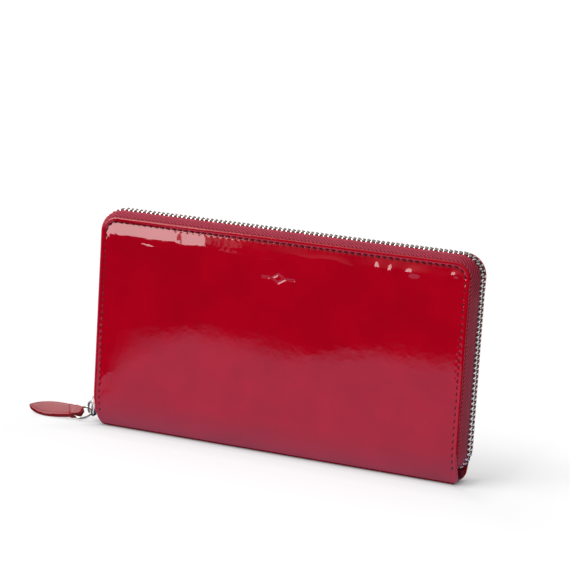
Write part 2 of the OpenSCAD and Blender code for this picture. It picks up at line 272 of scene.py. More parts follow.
def capsule(length, radius, sides=8):
    """A thread stitch along +Z with round, slightly sunken ends."""
    heights = np.array([-0.5, -0.44, -0.3, 0, 0.3, 0.44, 0.5]) * length
    radii = np.array([0.25, 0.7, 0.95, 1.0, 0.95, 0.7, 0.25]) * radius
    angle = circle(sides)
    rings = [np.stack([r * np.cos(angle), r * np.sin(angle), np.full(sides, z)], -1)
             for z, r in zip(heights, radii)]
    return np.concatenate(rings), ring_faces(len(rings), sides)


def smoothstep(x, a, b):
    """0 below a, 1 above b and a smooth rise between them."""
    t = np.clip((x - a) / (b - a), 0, 1)
    return t * t * (3 - 2 * t)


def mound(x, width):
    """A smooth bump of height 1 round zero."""
    return np.exp(-(x / width) ** 2)


def lengths_along(points):
    """Running length along a row of points."""
    return np.concatenate([[0], np.cumsum(np.linalg.norm(np.diff(points, axis=0), axis=1))])


def unit_rows(vectors):
    """Each vector of a list, one unit long."""
    return vectors / np.linalg.norm(vectors, axis=1)[:, None]


# -------- the fold's profile and the cover's outline
def fold_y(z):
    """Half the wallet's thickness at height z."""
    rise = np.sin(np.clip(z / FOLD_H, 0, 1) * math.pi / 2)
    return SPINE_FLAT / 2 + (HALF_T - SPINE_FLAT / 2) * rise


def profile(step=0.2, window=13, above=4):
    """Points (y, z) up one side from the middle of the spine, evenly spaced and slightly rounded."""
    z = np.linspace(0, FOLD_H, 400)
    y = np.linspace(0, SPINE_FLAT / 2, 60)
    wall = np.linspace(FOLD_H, TOP + above, 201)
    raw = np.concatenate([
        np.stack([-y[::-1], 0 * y], -1), np.stack([y, 0 * y], -1)[1:], np.stack([fold_y(z), z], -1)[1:],
        np.stack([np.full(wall.shape, HALF_T), wall], -1)[1:]])
    length = lengths_along(raw)
    even = np.arange(0, length[-1], step)
    pts = np.stack([np.interp(even, length, raw[:, k]) for k in (0, 1)], -1)
    kernel = np.ones(window) / window
    soft = np.stack([np.convolve(pts[:, k], kernel, "same") for k in (0, 1)], -1)
    soft[:window], soft[-window:] = pts[:window], pts[-window:]
    start = np.argmin(np.abs(soft[:, 0]) + soft[:, 1] * 10)
    soft = soft[start:]
    soft[:, 1] -= soft[0, 1]
    return soft


PROFILE = profile()
PROFILE_S = lengths_along(PROFILE)
PROFILE_T = unit_rows(np.gradient(PROFILE, axis=0))


def length_up_to(z):
    """Length up the profile at height z; the flat start of the profile is left out."""
    flat = 10
    return np.interp(z, PROFILE[flat:, 1], PROFILE_S[flat:])


def on_profile(s):
    """Point (y, z) and outward normal at a length up the profile."""
    y, z = (np.interp(s, PROFILE_S, PROFILE[:, k]) for k in (0, 1))
    ty, tz = (np.interp(s, PROFILE_S, PROFILE_T[:, k]) for k in (0, 1))
    size = np.hypot(ty, tz)
    return y, z, tz / size, -ty / size


def half_width(z, inset=0.0, low_corner=LOW_CORNER):
    """Half the cover's length at height z, with its round corners."""
    r = CORNER - inset
    up = np.clip(z - (TOP - inset - r), 0, r)
    low = np.clip(low_corner - z, 0, low_corner)
    lost = (r - np.sqrt(r * r - up * up)) + (low_corner - np.sqrt(low_corner ** 2 - low * low))
    return HALF_W - inset - lost


def edge_distance(x, z):
    """Distance from the cover's edge, inside it."""
    ax = np.abs(x)
    cx, cz = ax - (HALF_W - CORNER), z - (TOP - CORNER)
    corner = CORNER - np.hypot(np.maximum(cx, 0), np.maximum(cz, 0))
    return np.where((cx > 0) & (cz > 0), corner, np.minimum(half_width(z) - ax, TOP - z))


def edge_parts(offset, low_z):
    """Lengths of one leg, one corner and the top of the line parallel to the cover's edge."""
    return TOP - CORNER - low_z, math.pi * (CORNER + offset) / 2, 2 * (HALF_W - CORNER)


def edge_length(offset, low_z):
    """Length of the whole line parallel to the cover's edge."""
    leg, bend, top = edge_parts(offset, low_z)
    return 2 * leg + 2 * bend + top


def path_length_at(x, z, offset):
    """Length along the line parallel to the edge, from the left end, nearest to a point."""
    leg, bend, top = edge_parts(offset, STITCH_LOW)
    ax = np.abs(x)
    cx, cz = ax - (HALF_W - CORNER), z - (TOP - CORNER)
    turn = np.arctan2(np.maximum(cz, 0), np.maximum(cx, 1e-9))
    on_top = leg + bend - cx
    from_end = np.where(cz <= 0, z - STITCH_LOW, np.where(cx > 0, leg + (CORNER + offset) * turn, on_top))
    near_top = (TOP - z) < (HALF_W - ax)
    from_end = np.where((cz <= 0) & near_top, on_top, from_end)
    return np.where(x < 0, from_end, 2 * (leg + bend) + top - from_end)


def edge_path(s, offset, low_z):
    """Point (x, z) and outward direction at a length along a line parallel to the cover's edge."""
    leg, bend, top = edge_parts(offset, low_z)
    half = leg + bend + top / 2
    right = s >= half
    from_end = np.where(right, 2 * half - s, s)
    turn = np.clip((from_end - leg) / bend, 0, 1) * math.pi / 2
    past = np.maximum(0, from_end - leg - bend)
    x = HALF_W - CORNER + (CORNER + offset) * np.cos(turn) - past
    z = low_z + np.minimum(from_end, leg) + (CORNER + offset) * np.sin(turn)
    sign = np.where(right, 1, -1)
    return sign * x, z, sign * np.cos(turn), np.sin(turn)


def zip_end(offset, low_z):
    """Length along edge_path at which the zip's tail leaves it."""
    return edge_length(offset, low_z) - (TAIL_Z - low_z)


def zip_path(s, offset, low_z):
    """Like edge_path, but the right end turns into the fold on an arc."""
    radius = TAIL_R - TAPE_OUT + offset
    end = zip_end(offset, low_z)
    straight = s < end
    x, z, ux, uz = edge_path(np.minimum(s, end), offset, low_z)
    turn = np.maximum(0, s - end) / radius
    tail_ux, tail_uz = np.cos(turn), -np.sin(turn)
    x = np.where(straight, x, TAIL_X + radius * tail_ux)
    z = np.where(straight, z, TAIL_Z + radius * tail_uz)
    return x, z, np.where(straight, ux, tail_ux), np.where(straight, uz, tail_uz)


def path_axes(ux, uz, side):
    """Outward, toward the cover and along the run, at each place on a path."""
    flat = 0 * ux
    return np.stack([ux, flat, uz], -1), np.tile([0, side, 0], (len(ux), 1)), np.stack([uz, flat, -ux], -1)


# -------- materials
def set_inputs(tree, node, values=(), feeds=()):
    """Sets a node's constant inputs, and links sockets into its other inputs."""
    for socket, value in dict(values).items():
        node.inputs[socket].default_value = value
    for socket, source in dict(feeds).items():
        tree.links.new(source, node.inputs[socket])


def add_node(tree, kind, values=(), feeds=()):
    made = tree.nodes.new("ShaderNode" + kind)
    set_inputs(tree, made, values, feeds)
    return made


def material(name, kind="BsdfPrincipled"):
    """A new node material, its tree and its shader."""
    made = bpy.data.materials.new(name)
    made.use_nodes = True
    tree = made.node_tree
    tree.nodes.clear()
    shader = add_node(tree, kind)
    add_node(tree, "OutputMaterial", feeds={0: shader.outputs[0]})
    return made, tree, shader


def coordinates(tree, scale=1.0, kind="Object"):
    where = add_node(tree, "TexCoord")
    scales = {"Scale": (scale, scale, scale)}
    return add_node(tree, "Mapping", scales, {"Vector": where.outputs[kind]}).outputs[0]


def noise(tree, vector, scale, detail):
    values = {"Scale": scale, "Detail": detail, "Roughness": 0.5}
    return add_node(tree, "TexNoise", values, {"Vector": vector}).outputs["Fac"]


def ramp(tree, value, stops):
    """Colours blended between (place, colour) stops."""
    made = add_node(tree, "ValToRGB", feeds={0: value})
    elements = made.color_ramp.elements
    for element, (place, colour) in ((elements[0], stops[0]), (elements[1], stops[-1])):
        element.position = place
        element.color = (*colour, 1)
    for place, colour in stops[1:-1]:
        elements.new(place).color = (*colour, 1)
    return made.outputs[0]


def spread(tree, value, low, high, end="To"):
    """Maps 0 to 1 onto low to high, or with end="From" low to high onto 0 to 1."""
    return add_node(tree, "MapRange", {end + " Min": low, end + " Max": high}, {"Value": value}).outputs[0]


def multiplied(tree, first, second, factor=1.0):
    """Product of two colours."""
    made = tree.nodes.new("ShaderNodeMix")
    made.data_type = "RGBA"
    made.blend_type = "MULTIPLY"
    set_inputs(tree, made, {"Factor": factor}, {6: first, 7: second})
    return made.outputs[2]


def bump(tree, height, strength, distance, under=None):
    feeds = {"Height": height, "Normal": under} if under else {"Height": height}
    return add_node(tree, "Bump", {"Strength": strength, "Distance": distance}, feeds).outputs[0]


def shade(colour, factor):
    return tuple(min(1.0, c * factor) for c in colour)


def tones(tree, value, colour, low, high):
    """Lighter and darker shades of a colour; low and high are (place, factor)."""
    return ramp(tree, value, [(place, shade(colour, factor)) for place, factor in (low, high)])


def patent_leather(name, colour, ripple=0.25):
    """Lacquered leather: deep colour under a hard clear coat with a faint orange peel."""
    made, tree, shader = material(name)
    place = coordinates(tree)
    cloud = noise(tree, place, 60, 4)
    fine, peel, grain = (noise(tree, place, scale, 2) for scale in (900, 150, 1600))
    under = bump(tree, grain, 0.08, 0.0001)
    set_inputs(tree, shader,
               {"Specular IOR Level": 0.0, "Coat Weight": 1.0, "Coat Roughness": 0.035, "Coat IOR": 1.5},
               {"Base Color": tones(tree, cloud, colour, (0.3, 0.9), (0.7, 1.07)),
                "Roughness": spread(tree, fine, 0.28, 0.42),
                "Normal": bump(tree, peel, ripple, 0.0002, under),
                "Coat Normal": bump(tree, peel, ripple, 0.0002)})
    return made


def grained_leather(name, colour, gloss=0.5):
    """Soft inner leather with a fine pebbled grain."""
    made, tree, shader = material(name)
    place = coordinates(tree)
    cells = add_node(tree, "TexVoronoi", {"Scale": 1500}, {"Vector": place}).outputs["Distance"]
    cloud = noise(tree, place, 110, 5)
    fine = bump(tree, cells, 0.35, 0.00008)
    set_inputs(tree, shader, {"Coat Weight": 0.15, "Coat Roughness": 0.3},
               {"Base Color": tones(tree, cloud, colour, (0.25, 0.8), (0.75, 1.15)),
                "Roughness": spread(tree, cells, gloss - 0.08, gloss + 0.12),
                "Normal": bump(tree, cloud, 0.25, 0.0002, fine)})
    return made


def woven(name, colour, thread_mm, kind="Object", fuzz=0.35, wale=None, deep=0.6):
    """Twill cloth: crossing threads, a diagonal wale and soft sheen, along the UV map or the object. The
    colour is darker in the wale's troughs and lighter on its crests: partly the weave's own look, partly
    painted shade and highlight.
    """
    made, tree, shader = material(name)
    place = coordinates(tree, 1.0 if kind == "UV" else 1 / MM, kind)
    waves = []
    for direction, scale in (("DIAGONAL", wale or 0.45 / thread_mm), ("X", 0.3 / thread_mm)):
        values = {"Scale": scale, "Distortion": 0.6, "Detail": 1.0}
        wave = add_node(tree, "TexWave", values, {"Vector": place})
        wave.bands_direction = direction
        waves.append(wave.outputs["Fac"])
    mixed = add_node(tree, "Math", {1: 0.35}, {0: waves[1], 2: waves[0]})
    mixed.operation = "MULTIPLY_ADD"
    fluff = noise(tree, place, 0.8, 4)
    # deep sets how dark the troughs are painted: painted shade between threads and ribs, with painted
    # highlight on the crests.
    tone = tones(tree, mixed.outputs[0], colour, (0.1, deep), (0.9, 1.25))
    soft = ramp(tree, fluff, [(0.3, (0.8, 0.8, 0.8)), (0.7, (1, 1, 1))])
    set_inputs(tree, shader,
               {"Sheen Weight": fuzz, "Sheen Roughness": 0.45, "Sheen Tint": (1.0, 0.75, 0.8, 1),
                "Specular IOR Level": 0.35},
               {"Base Color": multiplied(tree, tone, soft, 0.5),
                "Roughness": spread(tree, fluff, 0.6, 0.85),
                "Normal": bump(tree, mixed.outputs[0], 0.5, 0.00012)})
    return made


def metal(name, colour, rough=0.2, wear=0.1):
    """Plated metal with a little casting ripple and uneven polish."""
    made, tree, shader = material(name)
    cloud = noise(tree, coordinates(tree), 700, 4)
    set_inputs(tree, shader, {"Metallic": 1.0},
               {"Base Color": tones(tree, cloud, colour, (0.3, 0.88), (0.7, 1)),
                "Roughness": spread(tree, cloud, rough - wear / 2, rough + wear),
                "Normal": bump(tree, cloud, 0.12, 0.00006)})
    return made


def cardboard(name, colour):
    made, tree, shader = material(name)
    fibre = noise(tree, coordinates(tree), 400, 6)
    set_inputs(tree, shader, {"Roughness": 0.9},
               {"Base Color": tones(tree, fibre, colour, (0.3, 0.8), (0.7, 1)),
                "Normal": bump(tree, fibre, 0.3, 0.0001)})
    return made


RED = (0.375, 0.0004, 0.010)
DEEP = (0.20, 0.004, 0.014)
CLOTH = (0.30, 0.012, 0.035)
PATENT = patent_leather("patent_leather", RED)
# The leaf takes the cover's red darkened to 0.72: a shaded copy of the patent leather, painted shade that
# tones down the light it catches.
LEAF = patent_leather("leaf_leather", shade(RED, 0.72), 0.4)
INNER = grained_leather("inner_leather", (0.26, 0.004, 0.016))
BINDING = grained_leather("binding_leather", DEEP, 0.4)
EDGE = grained_leather("painted_edge", shade(RED, 0.55), 0.35)
# On the tape the wale is set to the ribs' pitch, so deep 0.22 paints strong shade in the rib grooves and
# highlight on their crests.
TAPE = woven("zip_tape", (0.38, 0.022, 0.052), 0.5, "UV", 0.05, 0.628 / RIB, 0.22)
# Near-black cloth for the zip's bead: its darkness is painted shade in the gaps between the teeth.
CORD_SHADE = woven("tape_cord_painted_shade", (0.06, 0.001, 0.005), 0.3, fuzz=0.05)
LINING = woven("lining_cloth", CLOTH, 0.3)
GUSSET = woven("gusset_cloth", shade(CLOTH, 0.9), 0.3)
THREAD = woven("thread", (0.055, 0.001, 0.006), 0.18, fuzz=0.05)
NICKEL = metal("nickel", (0.82, 0.78, 0.73), 0.2)
STEEL = metal("ring_steel", (0.74, 0.70, 0.63), 0.14, 0.06)
DARK_STEEL = metal("slider_metal", (0.34, 0.33, 0.31), 0.30)
BOARD = cardboard("board", (0.55, 0.42, 0.28))


# -------- outer leather
COARSE_STEP = 0.55
FINE_STEP = 0.24
MOTIF_Z = TOP - 19.0
MOTIF_X = 10.5
MOTIF_H = 2.6


def spaced(low, high, step, fine_low, fine_high, fine):
    """Positions from low to high, close together between fine_low and fine_high."""
    marks = [low]
    while marks[-1] < high:
        here = marks[-1]
        marks.append(here + (fine if fine_low <= here <= fine_high else step))
    marks = np.array(marks)
    return low + (marks - low) * (high - low) / (marks[-1] - low)


def motif_depth(x, z):
    """A plain pressed ornament: a slim lozenge outline with a bar on each side."""
    lozenge = np.abs(x) / 3.4 + np.abs(z - MOTIF_Z) / 2.0
    ring = mound(lozenge - 1, 0.22)
    bar_x = np.abs(np.abs(x) - 6.6)
    bar = smoothstep(bar_x, 2.3, 1.9) * mound(z - MOTIF_Z, 0.42)
    return 0.22 * np.maximum(ring * (lozenge < 2), bar)


def ripples(x, z, seed, count=14):
    """Low waves that the leather takes up near its sewn edge."""
    chance = np.random.default_rng(seed)
    total = np.zeros_like(x)
    for _ in range(count):
        length = chance.uniform(16, 48)
        angle = chance.uniform(-0.9, 0.9)
        phase = chance.uniform(0, 2 * math.pi)
        wave = np.sin(2 * math.pi * (x * math.cos(angle) + z * math.sin(angle)) / length + phase)
        total += wave * length / 48
    return total / count


# Soft ridges in the lacquered leather: middle x and z, half length, half height, slant, height
RIDGES = [
    (-68, 92.5, 9, 0.9, -0.10, 0.07), (-48, 91.6, 7, 0.8, 0.05, 0.06), (-36, 90.0, 5, 0.8, 0.20, 0.06),
    (-22, 94.6, 9, 1.0, -0.06, 0.08), (-6, 93.8, 6, 0.9, 0.10, 0.08), (14, 97.6, 5, 0.8, -0.12, 0.10),
    (24, 98.3, 7, 0.9, 0.04, 0.16), (33, 97.2, 4, 0.8, -0.2, 0.16), (51, 97.8, 2.0, 3.2, 0.3, 0.36),
    (57, 97.6, 2.0, 3.2, -0.3, 0.34), (68, 97.8, 3.8, 2.2, 0.05, 0.62), (88.3, 99.2, 2.0, 1.6, 0.2, 0.45),
    (-89, 96.0, 1.2, 4.0, 0.1, 0.10), (60, 92.0, 8, 1.6, 0.1, 0.03), (-80, 88.0, 6, 1.2, -0.3, 0.03)]


def ridges(x, z):
    total = np.zeros_like(x)
    for mid_x, mid_z, long, high, slant, rise in RIDGES:
        u = (x - mid_x) + slant * (z - mid_z)
        v = (z - mid_z) - slant * (x - mid_x) + 0.02 * u * u / long
        total += rise * mound(u, long) * mound(v, high)
    return total


def leather_height(x, z, seed, front):
    """Height of the leather over its plain face: round rim, stitch channel, puckers and waves."""
    d = edge_distance(x, z)
    run = path_length_at(x, z, -STITCH_IN)
    sewn = smoothstep(z, STITCH_LOW - 2.5, STITCH_LOW + 1)
    beat = 0.5 + 0.5 * np.cos(2 * math.pi * run / STITCH_PITCH + math.pi)
    side_leg = smoothstep(TOP - z, 4, 12)
    rim = np.where(d < 0.6, -0.5 * (1 - np.sqrt(np.clip(1 - (1 - d / 0.6) ** 2, 0, 1))), 0)
    channel = -(0.02 + 0.22 * beat) * mound(d - STITCH_IN, 0.36)
    pucker = 0.05 * (beat - 0.5) * mound(d - STITCH_IN - 0.75, 0.4) * (1 + 0.9 * side_leg)
    inside = np.maximum(d - STITCH_IN, 0)
    pull = 0.62 - 0.40 * side_leg
    slope = -pull * np.exp(-inside / 5.6) * smoothstep(d, 1.2, STITCH_IN)
    near_top = np.exp(-np.maximum(TOP - z, 0) / 16)
    near_side = 0.25 * np.exp(-np.maximum(HALF_W - np.abs(x), 0) / 8)
    waves = 0.55 * ripples(x, z, seed) * (near_top + near_side + 0.05) * smoothstep(d, 1.5, 7.0)
    height = rim + (channel + pucker) * sewn + slope * (0.35 + 0.65 * sewn) + waves
    if front:
        height += ridges(x, z) * smoothstep(d, 2.6, 5.0) - motif_depth(x, z)
    return height * smoothstep(z, 0.2, 3.0)


def outer_leather(side, name, seed):
    """One half of the cover's single piece of leather, from the spine's middle to the rim."""
    front = side < 0
    fine = FINE_STEP if front else COARSE_STEP
    motif_x = MOTIF_X / HALF_W
    columns = spaced(-1, 1, COARSE_STEP / HALF_W, -motif_x, motif_x, fine / HALF_W)
    s_top = length_up_to(TOP - CORNER)
    s_motif = s_top - (TOP - CORNER - MOTIF_Z)
    rows = spaced(0, s_top, COARSE_STEP, s_motif - MOTIF_H, s_motif + MOTIF_H, fine)
    turn = np.linspace(0, math.pi / 2, 37)[1:]
    rows = np.concatenate([rows, s_top + CORNER * np.sin(turn)])
    y, z, ny, nz = (a[:, None] + 0 * columns[None] for a in on_profile(rows))
    x = columns[None] * half_width(z)
    lift = leather_height(x, z, seed, front)
    outer = np.stack([x, side * (y + ny * lift), z + nz * lift], -1)
    inner = np.stack([x, side * (y - ny * LEATHER), z - nz * LEATHER], -1)
    made = add_object(name, *turned(closed_sheet(outer, inner), front), PATENT)
    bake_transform(made)
    return made


front_patent = outer_leather(-1, "front_patent", 7)
back_patent = outer_leather(1, "back_patent", 11)
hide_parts("front_leather", "spine_leather")
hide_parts("back_leather")


# -------- stitches
def outer_stitches(side, word):
    """The row of stitches round a cover, each a little slanted and sunk in its channel."""
    count = int(edge_length(-STITCH_IN, STITCH_LOW) / STITCH_PITCH)
    s = (np.arange(count) + 0.5) * STITCH_PITCH
    x, z, ux, uz = edge_path(s, -STITCH_IN, STITCH_LOW)
    out, through, run = path_axes(ux, uz, side)
    along = run * math.cos(STITCH_SLANT) + out * math.sin(STITCH_SLANT)
    across = out * math.cos(STITCH_SLANT) - run * math.sin(STITCH_SLANT)
    places = np.stack([x, side * (fold_y(z) - STITCH_DEPTH), z], -1)
    shape = repeated(capsule(*STITCH_SIZE), places, np.stack([across, through, along], 1))
    piece(f"{word}_thread", shape, THREAD, f"{word}_cover", f"{word}_stitching")


for side, word in COVERS:
    outer_stitches(side, word)


# -------- main zip
def tape_line():
    """Middle of the tape's section from its sewn edge to its beaded edge, as (out, from mid plane)."""
    seam = HALF_T - TAPE_IN - TAPE_T / 2
    slope_end = 4.6
    shoulder = np.array([[0.1, seam], [0.42, seam - 0.12], [0.68, seam - 0.4], [0.86, seam - 0.8]])
    flange = np.stack([np.linspace(-4.5, 0.1, 6)[:-1], np.full(5, seam)], -1)
    share = np.linspace(0, 1, 14)[1:]
    slant = shoulder[-1] + share[:, None] * (np.array([TAPE_OUT, slope_end]) - shoulder[-1])
    slant[:, 0] += 0.22 * np.sin(np.pi * share)
    wall = np.stack([np.full(14, TAPE_OUT), np.linspace(slope_end, TAPE_EDGE, 15)[1:]], -1)
    return np.concatenate([flange, shoulder, slant, wall])


def squeeze(z):
    """How far the narrowing fold pushes the tape toward the mid plane."""
    room = (fold_y(np.maximum(z, 6)) - TAPE_IN) / (HALF_T - TAPE_IN)
    return np.clip(room, 0.3, 1)


def tape(side, word):
    """Woven tape along the zip's path, with slanted ribs on its outside and a bead along its free edge."""
    line = tape_line()
    normal = unit_rows(np.stack([-np.gradient(line[:, 1]), np.gradient(line[:, 0])], -1))
    end = zip_end(0, TAPE_LOW)
    s = np.arange(0, end + (TAIL_R - TAPE_OUT) * TAPE_TURN, 0.26)
    x0, z0, ux, uz = zip_path(s, 0, TAPE_LOW)
    across = lengths_along(line)
    slanted = RIB_SLANT * np.abs(across[None] - TAPE_MIDDLE)
    rib_phase = (s[:, None] + slanted) * 2 * math.pi / RIB
    right_leg = end - (TOP - CORNER - TAIL_Z)
    fade = 1 - 0.75 * smoothstep(s[:, None], right_leg, right_leg + 12)
    rib = 0.25 * fade * np.sin(rib_phase - math.pi / 2) * (across[None] > 4.5)
    cord = CORD_OUT * np.sqrt(np.maximum(0, 1 - ((line[:, 1] - CORD_H) / CORD_R) ** 2))
    wall = line[:, 1] > CORD_H + CORD_R
    sheets = []
    for face in (1, -1):
        out = face * (TAPE_T / 2 + cord) + rib * (face > 0) * wall
        off = line[:, 0] + normal[:, 0] * out
        height = line[:, 1] + normal[:, 1] * out
        x = x0[:, None] + ux[:, None] * off
        z = z0[:, None] + uz[:, None] * off
        sheets.append(np.stack([x, side * height * squeeze(z), z], -1))
    shape = turned(closed_sheet(*sheets), side > 0)
    made = piece(f"{word}_tape", shape, TAPE, f"{word}_cover", f"{word}_zip_tape")
    # The bead's faces get the near-black cord cloth: painted shade between the teeth.
    made.data.materials.append(CORD_SHADE)
    bead = int(np.argmax(~wall))
    for face in made.data.polygons:
        if min(v % len(line) for v in face.vertices) >= bead:
            face.material_index = 1
    weave = made.data.uv_layers.new(name="weave")
    flat = np.stack(np.broadcast_arrays(s[:, None], slanted), -1).reshape(-1, 2)
    flat = np.concatenate([flat, flat])
    corner = np.empty(len(made.data.loops), np.int32)
    made.data.loops.foreach_get("vertex_index", corner)
    weave.data.foreach_set("uv", flat[corner].astype(np.float32).ravel())


for side, word in COVERS:
    tape(side, word)


def tooth_shape():
    """One tooth: crimped jaws, a neck and a rounded nose; out, toward the cover, along the run."""
    jaws = rounded_box((-1.1, 0.9, -0.5), (1.2, 3.0, 0.5), 0.3)
    head = rounded_box((-0.9, -0.95, -0.44), (0.85, 1.2, 0.44), 0.3)
    dimple = rounded_box((0.6, -0.5, -0.22), (0.95, 0.45, 0.22), 0.1, 1)
    return joined([jaws, head, dimple])


def teeth(side, word):
    """One row of teeth along the zip's path; the back row starts half a pitch later."""
    start = PITCH / 2 if side > 0 else 0
    s = np.arange(start, zip_end(TAPE_OUT, TEETH_LOW) + TAIL_R * TEETH_TURN, PITCH)
    x, z, ux, uz = zip_path(s, TAPE_OUT, TEETH_LOW)
    axes = np.stack(path_axes(ux, uz, side), 1)
    shape = turned(repeated(tooth_shape(), np.stack([x, 0 * x, z], -1), axes), side > 0)
    piece(f"{word}_teeth", shape, NICKEL, f"{word}_cover", f"{word}_zip_teeth", sharp=40)


for side, word in COVERS:
    teeth(side, word)


# -------- slider, ring and leaf
SLIDER_LOW, SLIDER_HIGH = box_mm("zip_slider")
SLIDER_HALF = (SLIDER_HIGH[2] - SLIDER_LOW[2]) / 2
SLIDER_Z = (SLIDER_LOW[2] + SLIDER_HIGH[2]) / 2
SLIDER_X = -HALF_W - TAPE_OUT
WING_IN, WING_OUT = 1.35, 2.55
WING_WIDE, WING_NARROW = 4.1, 3.5
RIM_IN, RIM_Y = 0.62, 3.1
BAIL_REACH, BAIL_HALF, BAIL_MIDDLE, BAIL_R = 4.2, 3.14, 3.7, 0.56


def slider_wings():
    """The two wings with their turned-in rims."""
    low, high = -SLIDER_HALF, SLIDER_HALF
    right = [(2.6, low), (WING_WIDE - 0.5, low + 0.5), (WING_WIDE, low + 1.6),
             (WING_NARROW + 0.15, high - 3), (WING_NARROW - 0.4, high - 0.7), (WING_NARROW - 1.3, high)]
    outline = [(0, low + 0.35)] + right + [(-y, z) for y, z in right[::-1]]
    strip = [(WING_WIDE, low + 1.6), (WING_NARROW + 0.15, high - 3), (WING_NARROW - 0.2, high - 1.6),
             (RIM_Y, high - 1.6), (RIM_Y, high - 3), (WING_WIDE - 0.7, low + 1.6)]
    parts = [prism(outline, WING_IN, WING_OUT, 0.32, 3), prism(outline, -WING_OUT, -WING_IN, 0.32, 3)]
    for rim in (strip, [(-y, z) for y, z in strip[::-1]]):
        parts.append(prism(rim, RIM_IN, WING_IN + 0.3, 0.08, 1))
        parts.append(prism(rim, -WING_IN - 0.3, -RIM_IN, 0.08, 1))
    return parts


def slider():
    """Slider body: two wings, the dividing post and the bail that holds the ring."""
    post = rounded_box((-1.5, -0.65, 0.7 - SLIDER_HALF), (1.5, 0.65, 3.8 - SLIDER_HALF), 0.3)
    turn = np.linspace(0, math.pi, 25)
    bail_z = BAIL_MIDDLE - SLIDER_HALF + BAIL_HALF * np.sign(np.cos(turn)) * np.abs(np.cos(turn)) ** 0.8
    bail_x = WING_OUT - 0.55 + BAIL_REACH * np.abs(np.sin(turn)) ** 0.45
    bail = tube(np.stack([bail_x, 0 * bail_z, bail_z], -1), BAIL_R, 10)
    verts, faces = joined(slider_wings() + [post, bail])
    shape = turned((verts * (-1, 1, 1) + (SLIDER_X, 0, SLIDER_Z), faces))
    piece("slider_body", shape, DARK_STEEL, "zip_slider", "zip_slider", sharp=40)


slider()

RING_R, WIRE_R = 4.4, 0.58
RING_AXIS = Vector(joints["ring_swing"]["axis"]).normalized()
RING_PIVOT = np.array(joints["ring_swing"]["pos_m"]) / MM
LEAF_AXIS = Vector(joints["leaf_swing"]["axis"]).normalized()
LEAF_PIVOT = np.array(joints["leaf_swing"]["pos_m"]) / MM
PULL_UP = RING_AXIS.cross(LEAF_AXIS).normalized()
PULL_UP = PULL_UP if PULL_UP.z > 0 else -PULL_UP
RING_CENTRE = RING_PIVOT - RING_R * np.array(RING_AXIS.cross(PULL_UP))
LEAF_OUT = Vector((LEAF_PIVOT - RING_CENTRE) / RING_R)
PULL_ACROSS = np.array(PULL_UP.cross(LEAF_OUT))


def ring():
    """The wire ring, in the plane of both pivots."""
    angle = circle(96)[:, None]
    points = RING_CENTRE + RING_R * (np.cos(angle) * np.array(LEAF_OUT) + np.sin(angle) * PULL_ACROSS)
    shape = tube(points, WIRE_R, 16, closed=True)
    piece("ring_wire", shape, STEEL, "pull_ring", "pull_ring")


ring()

LEAF_REACH, LEAF_W, LEAF_T = 24.85, 10.0, 2.0
LOOP_R, LOOP_HOLE, LOOP_BACK = 1.62, 0.84, 3.0
LEAF_WIDEST = 0.56


def leaf_half(t):
    """Half width of the leaf at a share t of its length, from the end of its loop to its tip."""
    near = 0.36 + 0.64 * np.sin(math.pi / 2 * np.clip(t / LEAF_WIDEST, 0, 1)) ** 0.75
    past = np.clip((t - LEAF_WIDEST) / (1 - LEAF_WIDEST), 0, 1)
    tip = np.clip(1 - past ** 2.2, 0, 1) ** 0.75
    round_end = np.sqrt(np.clip(1 - np.clip(1 - t / 0.05, 0, 1) ** 2, 0.04, 1))
    return LEAF_W / 2 * np.where(t < LEAF_WIDEST, near * (0.4 + 0.6 * round_end), tip)


def on_leaf(p, w, h):
    """A place on the leaf: along it from its pivot, across it and up from its middle."""
    return LEAF_PIVOT + (p[..., None] * np.array(LEAF_OUT) + w[..., None] * PULL_ACROSS
                         + h[..., None] * np.array(PULL_UP))


def loop_cutter():
    """A long oval bar that cuts the ring's hole through the leaf's loop."""
    angle = circle(24)
    oval_p = -LOOP_BACK / 2 + (LOOP_HOLE + LOOP_BACK / 2) * np.cos(angle)
    oval_h = LOOP_HOLE * np.sin(angle)
    ends = [on_leaf(oval_p, np.full(len(angle), reach), oval_h) for reach in (-9.0, 9.0)]
    return add_object("loop_cutter", np.concatenate(ends), ring_faces(2, len(angle)), EDGE)


